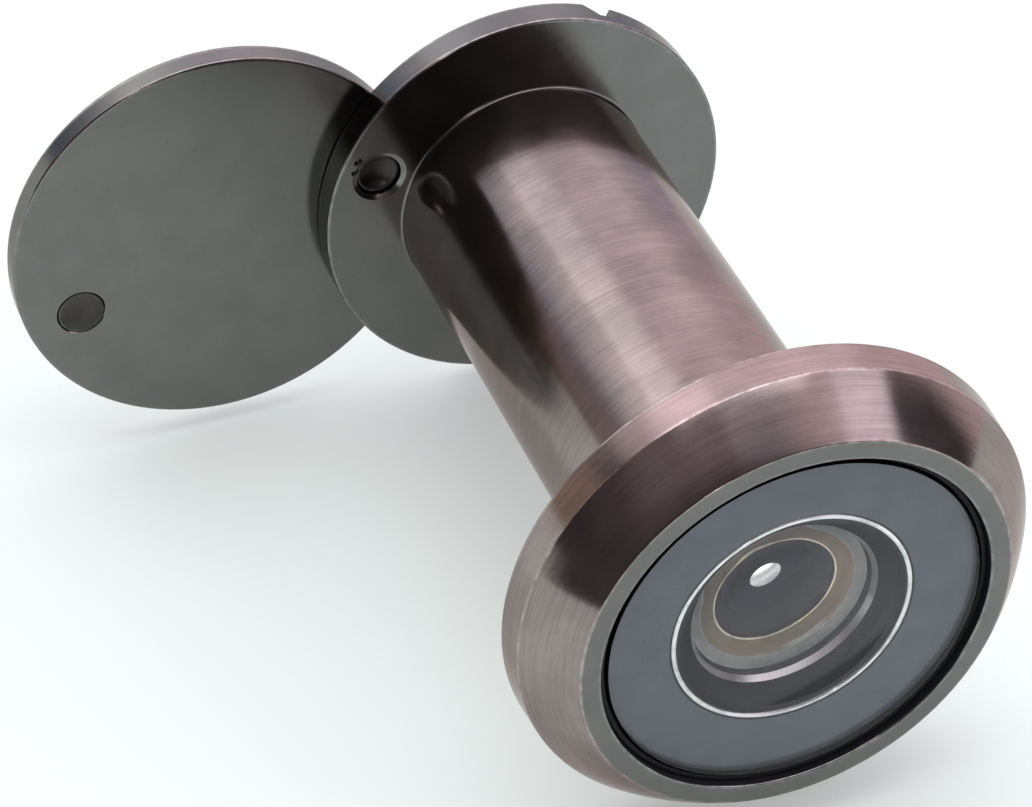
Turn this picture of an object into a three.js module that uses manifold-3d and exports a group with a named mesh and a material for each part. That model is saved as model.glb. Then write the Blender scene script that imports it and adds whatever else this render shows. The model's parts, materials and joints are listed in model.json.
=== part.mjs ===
// A door viewer (peephole) with a swinging privacy cover, built piece by piece in three.js.
//
// Units are millimetres and +Z is up. The viewer's axis is the Y axis, and the street side, with
// the big objective lens, faces -Y. The origin is on the axis, in the plane where the back of the
// bezel meets the door. The barrel and its bezel go in from the street side. The sleeve screws
// over the barrel from the room side, and clamps the door between its flange and the bezel.
// The viewer is shown fully screwed in, with its cover swung aside.

import * as THREE from "three";
import { mergeVertices } from "three/addons/utils/BufferGeometryUtils.js";
import Module from "manifold-3d";

const wasm = await Module();
wasm.setup();

// ---------------------------------------------------------------- driving dimensions

// Smoothness: sides of a large turned piece, sides of a small one, steps of a curve.
const SIDES = 48;
const SMALL_SIDES = 24;
const CURVE_STEPS = 4;

// Fits.
const LENS_CLEARANCE = 0.05; // radial, round each lens, spacer and ring in its bore
const THREAD_CLEARANCE = 0.1; // radial, between the barrel's thread and the sleeve
const RIVET_CLEARANCE = 0.08; // radial, round the pivot rivet
const COVER_GAP = 0.08; // between the flange and the cover
const CLOSED_GAP = 0.25; // between the bezel and the end of the sleeve, fully screwed in
const BARREL_END_GAP = 2.4; // between the end of the barrel and the eyepiece's retaining ring
const EDGE = 0.15; // broken edge on turned metal

// Objective lens and the gasket that it sits in.
const OBJECTIVE_RADIUS = 10.8;
const OBJECTIVE_THICKNESS = 0.79;
const OBJECTIVE_RECESS = 0.36; // front face below the bezel's lip
const OBJECTIVE_DISH = { radius: 6.5, depth: 0.38 };
const LENS_CHAMFER = 0.12;
const GASKET_WALL = 0.3;
const GASKET_BASE = 0.6;

// Lens stack in the head of the barrel, front to back.
const STACK_RADIUS = 7.0;
const FRONT_SPACER_HEIGHT = 1.4;
const FRONT_SPACER_RIM = 0.34;
const FRONT_SPACER_STEP = 1.04;
const FRONT_SPACER_WIDTH = 1.65;
const FRONT_SPACER_SLOPE = { width: 0.2, depth: 0.34 };
const SECOND_LENS_THICKNESS = 0.8;
const SECOND_DISH = { radius: 4.3, depth: 0.35 };
const REAR_SPACER_HEIGHT = 0.9;
const REAR_SPACER_WIDTHS = { front: 1.7, middle: 2.35, back: 3.25 };
const THIRD_LENS_RADIUS = 5.8;
const THIRD_LENS_THICKNESS = 1.9;
const THIRD_DISH = { radius: 3.3, depth: 0.8 };
const FIELD_STOP_THICKNESS = 0.3;
const FIELD_STOP_HOLE = 1.3;

// Bezel, on the street side. The head is as deep as the lens stack needs.
const LIP_WIDTH = 1.17; // flat lip round the lens opening
const BEVEL_WIDTH = 2.38;
const BEVEL_CROWN = 0.2; // how far the bevel bulges
const BEZEL_BAND = 2.13; // height of the band behind the bevel
const BEZEL_DRAFT = 0.12; // the band is this much larger in radius at the door
const SEAT_WIDTH = 2.4; // ring of the back face that bears on the door
const RELIEF_DEPTH = 0.5; // hollow inside that ring
const HEAD_WEB = 0.4; // metal between that hollow and the lens stack

// Barrel.
const BARREL_LEDGE = 0.8; // ledge that carries the stack
const BARREL_LEDGE_WIDTH = 0.95;
const BARREL_WALL = 1.15; // bore to thread crest
const BARREL_NECK_DEPTH = 0.55; // run-out groove behind the bezel
const BARREL_NECK_LENGTH = 1.4;
const BARREL_LEAD_IN = 0.5;

// Sleeve, on the room side.
const GRIP = 35.3; // thinnest door: back of the bezel to the flange
const SLEEVE_WALL = 0.71;
const SLEEVE_FILLET = 0.2;
const FLANGE_THICKNESS = 1.85;
const FLANGE_RIM = 1.17; // metal outside the pivot's hole
const EYE_LIP = 1.0; // metal behind the eyepiece lens
const EYE_HOLE = 4.6;
const EYE_CONE = 0.8; // how much wider the eye hole is at the back face
const NOTCH_ANGLE = 64; // degrees from +X towards +Z
const NOTCH_COUNT = 2;
const NOTCH_FLOOR = 1.05; // width at the bottom
const NOTCH_SLOPE = 0.8; // extra width of the sloping wall
const NOTCH_DEPTH = 1.1;
const NOTCH_LENGTH = 2.6; // from the rim inwards

// Eyepiece, in the end of the sleeve.
const EYEPIECE_RADIUS = 6.0;
const EYEPIECE_EDGE = 1.1; // thickness at the edge
const EYEPIECE_DOME = { radius: 4.7, depth: -1.3 };
const RETAINER_HEIGHT = 1.6;
const RETAINER_WIDTH = 1.2;
const RETAINER_SLOT_WIDTH = 0.8;
const RETAINER_SLOT_DEPTH = 0.6;

// Cover and its pivot.
const COVER_THICKNESS = 1.7;
const COVER_OVERHANG = 0.1; // how far it reaches past the flange
const COVER_FRONT_EDGE = 0.12; // broken edge, on the street side
const COVER_ROUND = 0.45; // rounding of its outer edge, on the room side
const PIVOT_INSET = 0.81; // metal between the tube and the pivot's hole
const PIVOT_ANGLE = 156.7; // degrees from +X towards +Z
const COVER_SWING = 136; // degrees that the cover stands open
const RIVET_RADIUS = 1.3;
const RIVET_RECESS = 0.35; // its end below the flange's front face
const RIVET_HEAD_RADIUS = 2.5;
const RIVET_HEAD_HEIGHT = 1.0;
const WASHER_RADIUS = 2.4;
const WASHER_THICKNESS = 0.22;
const WASHER_WAVE = 0.12; // height of its waves above and below the middle
const WASHER_WAVES = 3;
const WASHER_PLAY = 0.06; // each side of the washer

// Finger knob on the cover, nearly opposite the pivot.
const KNOB_INSET = 3.35; // from the cover's edge to the knob's centre, along the line from the pivot
const KNOB_SIDE = 0.27; // how far it is off that line
const KNOB_TAIL_RADIUS = 1.4;
const KNOB_CLEARANCE = 0.05; // radial, round its tail
const KNOB_NECK_RADIUS = 1.7;
const KNOB_NECK_HEIGHT = 1.0;
const KNOB_RADIUS = 2.4;
const KNOB_HEIGHT = 3.0;

// ---------------------------------------------------------------- places worked out from them

// Along the axis, from the web of the head forwards to the lip.
const thirdLensFront = -RELIEF_DEPTH - HEAD_WEB;
const secondLensBack = thirdLensFront - REAR_SPACER_HEIGHT;
const secondLensFront = secondLensBack - SECOND_LENS_THICKNESS;
const objectiveBack = secondLensFront - FRONT_SPACER_HEIGHT;
const objectiveFront = objectiveBack - OBJECTIVE_THICKNESS;
const bezelFront = objectiveFront - OBJECTIVE_RECESS;
const gasketBack = objectiveBack + GASKET_BASE;

// Along the axis, from the web backwards through the barrel.
const thirdLensBack = thirdLensFront + THIRD_LENS_THICKNESS;
const ledgeFront = thirdLensBack + FIELD_STOP_THICKNESS;
const ledgeBack = ledgeFront + BARREL_LEDGE;

// Along the axis, at the room side.
const flangeBack = GRIP + FLANGE_THICKNESS;
const eyepieceBack = flangeBack - EYE_LIP;
const retainerBack = eyepieceBack - EYEPIECE_EDGE;
const retainerFront = retainerBack - RETAINER_HEIGHT;
const barrelEnd = retainerFront - BARREL_END_GAP;
const coverFront = flangeBack + COVER_GAP;
const coverBack = coverFront + COVER_THICKNESS;
const washerGap = WASHER_THICKNESS + 2 * (WASHER_WAVE + WASHER_PLAY);

// Radii.
const gasketRadius = OBJECTIVE_RADIUS + LENS_CLEARANCE + GASKET_WALL;
const lensOpening = gasketRadius + LENS_CLEARANCE;
const lipRadius = lensOpening + LIP_WIDTH;
const bevelRadius = lipRadius + BEVEL_WIDTH;
const bezelRadius = bevelRadius + BEZEL_DRAFT;
const stackBore = STACK_RADIUS + LENS_CLEARANCE;
const barrelBore = THIRD_LENS_RADIUS + LENS_CLEARANCE;
const threadRadius = barrelBore + BARREL_WALL;
const threadBore = threadRadius + THREAD_CLEARANCE;
const sleeveRadius = threadBore + SLEEVE_WALL;
const eyepieceBore = EYEPIECE_RADIUS + LENS_CLEARANCE;
const rivetHole = RIVET_RADIUS + RIVET_CLEARANCE;
const pivotOffset = sleeveRadius + PIVOT_INSET + rivetHole;
const flangeRadius = pivotOffset + rivetHole + FLANGE_RIM;
const coverRadius = flangeRadius + COVER_OVERHANG;
const knobOffset = coverRadius - KNOB_INSET;

// A point at this distance and angle (degrees, from +X towards +Z), seen from the street side.
function polar(distance, angle) {
  const a = THREE.MathUtils.degToRad(angle);
  return new THREE.Vector3(distance * Math.cos(a), 0, distance * Math.sin(a));
}

// The closed cover is centred on the axis. As it opens, its centre goes round the pivot.
const closedCoverAngle = PIVOT_ANGLE + 180;
const coverAngle = closedCoverAngle - COVER_SWING;
const pivot = polar(pivotOffset, PIVOT_ANGLE);
const coverCentre = pivot.clone().add(polar(pivotOffset, coverAngle));

// ---------------------------------------------------------------- materials

function finish(color, roughness, metalness) {
  return new THREE.MeshStandardMaterial({ color, roughness, metalness });
}

function glass() {
  const material = finish(0xdfe6e8, 0.02, 0.0);
  material.transparent = true;
  material.opacity = 0.35;
  return material;
}

const copper = () => finish(0x6f5450, 0.35, 1.0);
const rubber = () => finish(0x17191b, 0.8, 0.0);
const bareAluminium = () => finish(0xc4c6c6, 0.3, 1.0);
const brass = () => finish(0x8a7448, 0.35, 1.0);
const blackPlastic = () => finish(0x121316, 0.7, 0.0);
const steel = () => finish(0x8d8f91, 0.35, 1.0);

// ---------------------------------------------------------------- ways of making a piece

// A closed outline in the half plane (radius, y), turned about the Y axis. It is drawn with
// THREE.Path calls, and runs towards +Y on its outer side.
function turned(draw, sides = SIDES) {
  const path = new THREE.Path();
  draw(path);
  path.closePath();
  return new THREE.LatheGeometry(path.getPoints(CURVE_STEPS), sides);
}

// A ring with a rectangular section.
function ring(inner, outer, from, to, sides = SIDES) {
  return turned((p) => {
    p.moveTo(inner, from);
    p.lineTo(outer, from);
    p.lineTo(outer, to);
    p.lineTo(inner, to);
  }, sides);
}

// A solid round bar along Y.
function bar(radius, from, to) {
  return new THREE.CylinderGeometry(radius, radius, to - from, SMALL_SIDES).translate(0, (from + to) / 2, 0);
}

// The curved middle of a lens face at y, as points from the axis outwards. The dish is hollow
// where its depth is above 0, and a dome where it is below. The glass lies towards side (+1, -1).
function curvedFace(y, side, { radius, depth }) {
  const ball = (radius ** 2 + depth ** 2) / (2 * Math.abs(depth));
  const towards = side * Math.sign(depth);
  const centre = y + side * depth - towards * ball;
  const steps = 2 * CURVE_STEPS;
  return Array.from({ length: steps + 1 }, (_, i) => {
    const r = (radius * i) / steps;
    return new THREE.Vector2(r, centre + towards * Math.sqrt(ball ** 2 - r ** 2));
  });
}

// A round lens between two planes. A face without a dish is flat.
function lens(radius, front, back, frontDish, backDish) {
  const flat = (y) => [new THREE.Vector2(0, y)];
  return new THREE.LatheGeometry(
    [
      ...(frontDish ? curvedFace(front, 1, frontDish) : flat(front)),
      new THREE.Vector2(radius - LENS_CHAMFER, front),
      new THREE.Vector2(radius, front + LENS_CHAMFER),
      new THREE.Vector2(radius, back),
      ...(backDish ? curvedFace(back, -1, backDish) : flat(back)).reverse(),
    ],
    SIDES,
  );
}

// A geometry as a manifold-3d solid.
function solid(geometry) {
  const bare = geometry.index ? geometry.toNonIndexed() : geometry.clone();
  bare.deleteAttribute("normal");
  bare.deleteAttribute("uv");
  const merged = mergeVertices(bare, 1e-4);
  return new wasm.Manifold(
    new wasm.Mesh({
      numProp: 3,
      vertProperties: new Float32Array(merged.attributes.position.array),
      triVerts: new Uint32Array(merged.index.array),
    }),
  );
}

// The first geometry with all the others cut out of it.
function cut(geometry, cutters) {
  const left = cutters.reduce((rest, cutter) => rest.subtract(solid(cutter)), solid(geometry));
  const mesh = left.getMesh();
  const result = new THREE.BufferGeometry();
  result.setAttribute("position", new THREE.BufferAttribute(new Float32Array(mesh.vertProperties), 3));
  result.setIndex(new THREE.BufferAttribute(new Uint32Array(mesh.triVerts), 1));
  result.computeVertexNormals();
  return result;
}

const viewer = new THREE.Group();

function piece(name, geometry, material, { parent = viewer, place = new THREE.Vector3() } = {}) {
  const mesh = new THREE.Mesh(geometry, material);
  mesh.name = name;
  mesh.position.copy(place);
  parent.add(mesh);
}

// ---------------------------------------------------------------- barrel and lens stack

// Bezel, head, ledge and threaded tube, all one turned piece.
function outerBarrel() {
  const crownRadius = (bevelRadius + lipRadius) / 2 + BEVEL_CROWN;
  const crownY = (bezelFront - BEZEL_BAND) / 2 - BEVEL_CROWN;
  const seatInner = bezelRadius - SEAT_WIDTH;
  const neck = threadRadius - BARREL_NECK_DEPTH;
  const ledgeHole = THIRD_LENS_RADIUS - BARREL_LEDGE_WIDTH;
  return turned((p) => {
    p.moveTo(lensOpening, bezelFront);
    p.lineTo(lipRadius, bezelFront);
    p.quadraticCurveTo(crownRadius, crownY, bevelRadius, -BEZEL_BAND);
    p.lineTo(bezelRadius, -EDGE);
    p.lineTo(bezelRadius - EDGE, 0);
    p.lineTo(seatInner, 0);
    p.lineTo(seatInner - RELIEF_DEPTH, -RELIEF_DEPTH);
    p.lineTo(neck, -RELIEF_DEPTH);
    p.lineTo(neck, BARREL_NECK_LENGTH - BARREL_NECK_DEPTH);
    p.lineTo(threadRadius, BARREL_NECK_LENGTH);
    p.lineTo(threadRadius, barrelEnd - BARREL_LEAD_IN);
    p.lineTo(threadRadius - BARREL_LEAD_IN, barrelEnd);
    p.lineTo(barrelBore, barrelEnd);
    p.lineTo(barrelBore, ledgeBack);
    p.lineTo(ledgeHole, ledgeBack);
    p.lineTo(ledgeHole, ledgeFront);
    p.lineTo(barrelBore, ledgeFront);
    p.lineTo(barrelBore, thirdLensFront);
    p.lineTo(stackBore, thirdLensFront);
    p.lineTo(stackBore, gasketBack);
    p.lineTo(lensOpening, gasketBack);
  });
}

// The gasket lines the lens opening with a thin wall, and backs the rim of the lens.
function lensGasket() {
  const wallInner = gasketRadius - GASKET_WALL;
  const wallFront = objectiveFront + LENS_CHAMFER;
  return turned((p) => {
    p.moveTo(stackBore, objectiveBack);
    p.lineTo(wallInner, objectiveBack);
    p.lineTo(wallInner, wallFront);
    p.lineTo(gasketRadius, wallFront);
    p.lineTo(gasketRadius, gasketBack);
    p.lineTo(stackBore, gasketBack);
  });
}

// A bright rim in front, then a step down to a smaller hole over the second lens.
function frontSpacer() {
  const rimInner = STACK_RADIUS - FRONT_SPACER_RIM;
  const hole = STACK_RADIUS - FRONT_SPACER_WIDTH;
  const stepY = objectiveBack + FRONT_SPACER_STEP;
  return turned((p) => {
    p.moveTo(rimInner, objectiveBack);
    p.lineTo(STACK_RADIUS, objectiveBack);
    p.lineTo(STACK_RADIUS, secondLensFront);
    p.lineTo(hole, secondLensFront);
    p.lineTo(hole, stepY + FRONT_SPACER_SLOPE.depth);
    p.lineTo(hole + FRONT_SPACER_SLOPE.width, stepY);
    p.lineTo(rimInner, stepY);
  });
}

// Two cones behind the second lens, down to a hole over the third.
function rearSpacer() {
  const third = REAR_SPACER_HEIGHT / 3;
  const { front, middle, back } = REAR_SPACER_WIDTHS;
  return turned((p) => {
    p.moveTo(STACK_RADIUS - front, secondLensBack);
    p.lineTo(STACK_RADIUS, secondLensBack);
    p.lineTo(STACK_RADIUS, thirdLensFront);
    p.lineTo(STACK_RADIUS - back, thirdLensFront);
    p.lineTo(STACK_RADIUS - back, thirdLensFront - third);
    p.lineTo(STACK_RADIUS - middle, thirdLensFront - 2 * third);
  });
}

const objective = lens(OBJECTIVE_RADIUS, objectiveFront, objectiveBack, null, OBJECTIVE_DISH);
const secondLens = lens(STACK_RADIUS, secondLensFront, secondLensBack, null, SECOND_DISH);
const thirdLens = lens(THIRD_LENS_RADIUS, thirdLensFront, thirdLensBack, THIRD_DISH, THIRD_DISH);
const fieldStop = ring(FIELD_STOP_HOLE, THIRD_LENS_RADIUS, thirdLensBack, ledgeFront);

piece("outer_barrel", outerBarrel(), copper());
piece("lens_gasket", lensGasket(), rubber());
piece("objective_lens", objective, glass());
piece("front_spacer", frontSpacer(), bareAluminium());
piece("second_lens", secondLens, glass());
piece("rear_spacer", rearSpacer(), brass());
piece("third_lens", thirdLens, glass());
piece("field_stop", fieldStop, blackPlastic());

// ---------------------------------------------------------------- sleeve and eyepiece

// One driving notch, to be cut into the flange's back edge at this angle.
function notch(angle) {
  const floorY = flangeBack - NOTCH_DEPTH;
  const section = new THREE.Shape();
  section.moveTo(-NOTCH_FLOOR / 2, floorY);
  section.lineTo(NOTCH_FLOOR / 2, floorY);
  section.lineTo(NOTCH_FLOOR / 2, coverFront);
  section.lineTo(-NOTCH_FLOOR / 2 - NOTCH_SLOPE, coverFront);
  return new THREE.ExtrudeGeometry(section, { depth: 2 * NOTCH_LENGTH, bevelEnabled: false })
    .translate(0, 0, flangeRadius - NOTCH_LENGTH)
    .rotateY(THREE.MathUtils.degToRad(90 - angle));
}

// Tube and flange in one turned piece.
function innerSleeve() {
  const blank = turned((p) => {
    p.moveTo(threadBore, CLOSED_GAP);
    p.lineTo(sleeveRadius - EDGE, CLOSED_GAP);
    p.lineTo(sleeveRadius, CLOSED_GAP + EDGE);
    p.lineTo(sleeveRadius, GRIP - SLEEVE_FILLET);
    p.lineTo(sleeveRadius + SLEEVE_FILLET, GRIP);
    p.lineTo(flangeRadius - EDGE, GRIP);
    p.lineTo(flangeRadius, GRIP + EDGE);
    p.lineTo(flangeRadius, flangeBack - EDGE);
    p.lineTo(flangeRadius - EDGE, flangeBack);
    p.lineTo(EYE_HOLE + EYE_CONE, flangeBack);
    p.lineTo(EYE_HOLE, eyepieceBack);
    p.lineTo(eyepieceBore, eyepieceBack);
    p.lineTo(eyepieceBore, retainerFront);
    p.lineTo(threadBore, retainerFront);
  });
  const notches = Array.from({ length: NOTCH_COUNT }, (_, i) => notch(NOTCH_ANGLE + (i * 360) / NOTCH_COUNT));
  const pivotHole = bar(rivetHole, GRIP - FLANGE_THICKNESS, coverBack).translate(pivot.x, 0, pivot.z);
  return cut(blank, [...notches, pivotHole]);
}

// The ring that holds the eyepiece, with a slot across its front for a key.
function eyepieceRetainer() {
  const blank = ring(EYEPIECE_RADIUS - RETAINER_WIDTH, EYEPIECE_RADIUS, retainerFront, retainerBack);
  const slot = new THREE.BoxGeometry(3 * EYEPIECE_RADIUS, 2 * RETAINER_SLOT_DEPTH, RETAINER_SLOT_WIDTH);
  return cut(blank, [slot.translate(0, retainerFront, 0)]);
}

// Domed towards the door and flat towards the eye.
const eyepiece = lens(EYEPIECE_RADIUS, retainerBack, eyepieceBack, EYEPIECE_DOME, null);

piece("inner_sleeve", innerSleeve(), copper());
piece("eyepiece_lens", eyepiece, glass());
piece("eyepiece_retainer", eyepieceRetainer(), brass());

// ---------------------------------------------------------------- cover, knob and pivot

// The cover's group is centred on the disc, with its own +X pointing at the pivot.
const coverGroup = new THREE.Group();
coverGroup.position.copy(coverCentre);
coverGroup.rotation.y = -THREE.MathUtils.degToRad(coverAngle + 180);
viewer.add(coverGroup);

function coverDisc() {
  const disc = turned((p) => {
    p.moveTo(0, coverFront);
    p.lineTo(coverRadius - COVER_FRONT_EDGE, coverFront);
    p.lineTo(coverRadius, coverFront + COVER_FRONT_EDGE);
    p.lineTo(coverRadius, coverBack - COVER_ROUND);
    p.quadraticCurveTo(coverRadius, coverBack, coverRadius - COVER_ROUND, coverBack);
    p.lineTo(0, coverBack);
  });
  const before = coverFront - COVER_THICKNESS;
  const beyond = coverBack + COVER_THICKNESS;
  return cut(disc, [
    bar(rivetHole, before, beyond).translate(pivotOffset, 0, 0),
    bar(KNOB_TAIL_RADIUS + KNOB_CLEARANCE, before, beyond).translate(-knobOffset, 0, KNOB_SIDE),
  ]);
}

// A tail through the cover, a neck and a rounded head.
function coverKnob() {
  const neckTop = coverBack + KNOB_NECK_HEIGHT;
  const top = coverBack + KNOB_HEIGHT;
  const waist = (neckTop + top) / 2;
  return turned((p) => {
    p.moveTo(0, coverFront);
    p.lineTo(KNOB_TAIL_RADIUS, coverFront);
    p.lineTo(KNOB_TAIL_RADIUS, coverBack);
    p.lineTo(KNOB_NECK_RADIUS, coverBack);
    p.lineTo(KNOB_NECK_RADIUS, neckTop);
    p.quadraticCurveTo(KNOB_RADIUS, neckTop, KNOB_RADIUS, waist);
    p.quadraticCurveTo(KNOB_RADIUS, top, KNOB_RADIUS / 2, top);
    p.lineTo(0, top);
  }, SMALL_SIDES);
}

// The rivet is fast in the flange, and its end lies below the flange's front face. The cover
// turns on it, under its domed head.
function pivotRivet() {
  const end = GRIP + RIVET_RECESS;
  const headFront = coverBack + washerGap;
  const headBack = headFront + RIVET_HEAD_HEIGHT;
  return turned((p) => {
    p.moveTo(0, end);
    p.lineTo(RIVET_RADIUS, end);
    p.lineTo(RIVET_RADIUS, headFront);
    p.lineTo(RIVET_HEAD_RADIUS, headFront);
    p.quadraticCurveTo(RIVET_HEAD_RADIUS, headBack, RIVET_HEAD_RADIUS / 3, headBack);
    p.lineTo(0, headBack);
  }, SMALL_SIDES);
}

// The wave washer under the rivet's head presses on the cover, so that it stays where it is put.
function waveWasher() {
  const front = coverBack + (washerGap - WASHER_THICKNESS) / 2;
  const washer = ring(rivetHole, WASHER_RADIUS, front, front + WASHER_THICKNESS, SMALL_SIDES);
  const at = washer.attributes.position;
  for (let i = 0; i < at.count; i++) {
    const around = Math.atan2(at.getZ(i), at.getX(i));
    at.setY(i, at.getY(i) + WASHER_WAVE * Math.cos(WASHER_WAVES * around));
  }
  return washer;
}

piece("cover", coverDisc(), copper(), { parent: coverGroup });
const knobPlace = new THREE.Vector3(-knobOffset, 0, KNOB_SIDE);
piece("cover_knob", coverKnob(), copper(), { parent: coverGroup, place: knobPlace });
piece("pivot_rivet", pivotRivet(), copper(), { place: pivot });
piece("wave_washer", waveWasher(), steel(), { place: pivot });

export default viewer;
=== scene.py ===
"""The looks of a door viewer with a swinging privacy cover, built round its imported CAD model.

The viewer's axis is the Y axis, and the street side, with the big lens, faces -Y. Sizes here are in
millimetres, and are turned into metres where a mesh is made. Each piece is turned about its own axis,
with real edge roundings, and replaces the CAD node that it stands for.
"""

import json
import math
from types import SimpleNamespace

import bmesh
import bpy
from mathutils import Matrix, Vector


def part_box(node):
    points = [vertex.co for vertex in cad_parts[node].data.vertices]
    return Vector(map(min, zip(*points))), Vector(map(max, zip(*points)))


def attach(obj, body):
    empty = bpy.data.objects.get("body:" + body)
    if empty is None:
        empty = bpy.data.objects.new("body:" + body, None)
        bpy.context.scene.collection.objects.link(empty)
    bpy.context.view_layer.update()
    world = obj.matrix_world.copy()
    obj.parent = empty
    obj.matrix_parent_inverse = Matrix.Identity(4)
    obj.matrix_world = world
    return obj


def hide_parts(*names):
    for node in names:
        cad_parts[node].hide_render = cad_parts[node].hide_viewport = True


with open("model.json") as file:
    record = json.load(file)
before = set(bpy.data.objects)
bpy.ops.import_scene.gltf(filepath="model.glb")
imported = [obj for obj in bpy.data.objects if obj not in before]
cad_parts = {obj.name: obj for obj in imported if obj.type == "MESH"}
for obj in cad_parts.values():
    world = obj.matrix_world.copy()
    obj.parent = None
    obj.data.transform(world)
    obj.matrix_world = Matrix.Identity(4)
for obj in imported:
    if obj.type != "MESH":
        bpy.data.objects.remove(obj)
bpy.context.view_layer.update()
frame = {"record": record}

MM = 0.001
MICROMETRE = 0.001 * MM

# ---------------------------------------------------------------- camera, at the photograph's angle

CAMERA_AZIMUTH = math.radians(-20.80)
CAMERA_ELEVATION = math.radians(39.90)
CAMERA_PLACE = Vector((-65.93, -136.72, 137.82)) * MM
CAMERA_LENS = 132.99
CAMERA_SENSOR = 36
CAMERA_CLIP = (0.01, 10)  # nearest and furthest distance in view, in metres


def make_camera():
    data = bpy.data.cameras.new("camera")
    data.sensor_width = CAMERA_SENSOR
    data.lens = CAMERA_LENS
    data.clip_start, data.clip_end = CAMERA_CLIP
    back = Vector((
        math.sin(CAMERA_AZIMUTH) * math.cos(CAMERA_ELEVATION),
        -math.cos(CAMERA_AZIMUTH) * math.cos(CAMERA_ELEVATION),
        math.sin(CAMERA_ELEVATION),
    ))
    right = Vector((0, 0, 1)).cross(back).normalized()
    up = back.cross(right)
    turn = Matrix((right, up, back)).transposed().to_4x4()
    camera = bpy.data.objects.new("camera", data)
    camera.matrix_world = Matrix.Translation(CAMERA_PLACE) @ turn
    bpy.context.scene.collection.objects.link(camera)
    bpy.context.scene.camera = camera


make_camera()

# ---------------------------------------------------------------- node trees


class Graph:
    """A node tree, with short calls that add a node and return its output socket."""

    def __init__(self, tree):
        self.tree = tree
        tree.nodes.clear()

    def feed(self, socket, value):
        if isinstance(value, bpy.types.NodeSocket):
            self.tree.links.new(value, socket)
        else:
            socket.default_value = value

    def node(self, kind, inputs, **settings):
        made = self.tree.nodes.new(kind)
        for name, value in settings.items():
            setattr(made, name, value)
        for name, value in inputs.items():
            self.feed(made.inputs[name], value)
        return made

    def math(self, operation, *values):
        return self.node("ShaderNodeMath", dict(enumerate(values)), operation=operation).outputs[0]

    def vector(self, operation, *values, output=0):
        made = self.node("ShaderNodeVectorMath", dict(enumerate(values)), operation=operation)
        return made.outputs[output]

    def scaled(self, vector, factor):
        inputs = {0: vector, "Scale": factor}
        return self.node("ShaderNodeVectorMath", inputs, operation="SCALE").outputs[0]

    def remap(self, value, low, high, to_low=0.0, to_high=1.0, smooth=False):
        inputs = {"Value": value, "From Min": low, "From Max": high, "To Min": to_low, "To Max": to_high}
        kind = "SMOOTHSTEP" if smooth else "LINEAR"
        return self.node("ShaderNodeMapRange", inputs, interpolation_type=kind).outputs[0]

    def noise(self, vector, scale, detail=3.0, rough=0.55, w=None):
        inputs = {"Vector": vector, "Scale": scale, "Detail": detail, "Roughness": rough}
        if w is not None:
            inputs["W"] = w
        dimensions = "3D" if w is None else "4D"
        return self.node("ShaderNodeTexNoise", inputs, noise_dimensions=dimensions).outputs[0]

    def mix(self, factor, first, second, blend="MIX"):
        inputs = {0: factor, 6: as_colour(first), 7: as_colour(second)}
        return self.node("ShaderNodeMix", inputs, data_type="RGBA", blend_type=blend).outputs[2]

    def ramp(self, factor, stops):
        made = self.node("ShaderNodeValToRGB", {0: factor})
        elements = made.color_ramp.elements
        while len(elements) > 1:
            elements.remove(elements[-1])
        elements[0].position = stops[0][0]
        elements[0].color = as_colour(stops[0][1])
        for place, colour in stops[1:]:
            elements.new(place).color = as_colour(colour)
        return made.outputs[0]

    def bump(self, height):
        """A normal for a height given in micrometres."""
        inputs = {"Height": height, "Strength": 1.0, "Distance": MICROMETRE}
        return self.node("ShaderNodeBump", inputs).outputs[0]

    def mix_shader(self, factor, first, second):
        return self.node("ShaderNodeMixShader", {0: factor, 1: first, 2: second}).outputs[0]

    def finish(self, shader, kind="ShaderNodeOutputMaterial"):
        self.node(kind, {"Surface": shader})


def as_colour(value):
    """A colour of three numbers with its alpha; a socket stays as it is."""
    return value if isinstance(value, bpy.types.NodeSocket) else (*value, 1.0)


def new_material(name):
    material = bpy.data.materials.new(name)
    material.use_nodes = True
    return material, Graph(material.node_tree)


# ---------------------------------------------------------------- world, floor and view

# The studio's light by direction. Each table is for one range of direction y, from -Y (the street
# side) to +Y. A row is a direction x, how strong the light is there, and its tint.
WARM = (1.0, 0.75, 0.60)
PINK = (1.0, 0.80, 0.87)
ROSE = (1.0, 0.87, 1.00)
PALE = (1.0, 0.95, 0.98)
COOL = (1.0, 0.98, 1.10)
BLUE = (0.6, 0.70, 1.00)
FRONT_LIGHT = [
    (-0.90, 0.08, ROSE),
    (-0.77, 0.13, PINK),
    (-0.59, 0.35, PINK),
    (-0.13, 0.37, PINK),
    (-0.09, 0.65, ROSE),
    (0.20, 0.63, ROSE),
    (0.34, 0.90, PINK),
    (0.55, 1.35, PINK),
    (0.60, 2.00, ROSE),
    (0.80, 2.10, ROSE),
    (0.84, 0.15, ROSE),
    (0.93, 0.12, ROSE),
    (1.00, 0.03, PALE),
]
SIDE_LIGHT = [
    (-0.72, 0.50, WARM),
    (-0.66, 0.18, PINK),
    (-0.62, 0.25, PINK),
    (-0.57, 0.80, PINK),
    (-0.46, 1.30, PINK),
    (-0.38, 2.40, PINK),
    (-0.17, 2.60, PINK),
    (-0.04, 1.85, PINK),
    (0.22, 1.60, PINK),
    (0.45, 2.10, PINK),
    (0.62, 2.10, PINK),
    (0.72, 1.50, PINK),
    (1.00, 1.10, PINK),
]
BACK_LIGHT = [
    (-0.72, 0.55, WARM),
    (-0.64, 0.58, PINK),
    (-0.56, 1.40, PALE),
    (-0.46, 1.85, PALE),
    (-0.36, 2.05, PALE),
    (-0.32, 2.65, PALE),
    (-0.08, 1.90, PALE),
    (0.05, 1.30, PINK),
    (0.45, 1.65, PINK),
    (0.66, 1.25, PINK),
    (1.00, 1.20, PINK),
]
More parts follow.
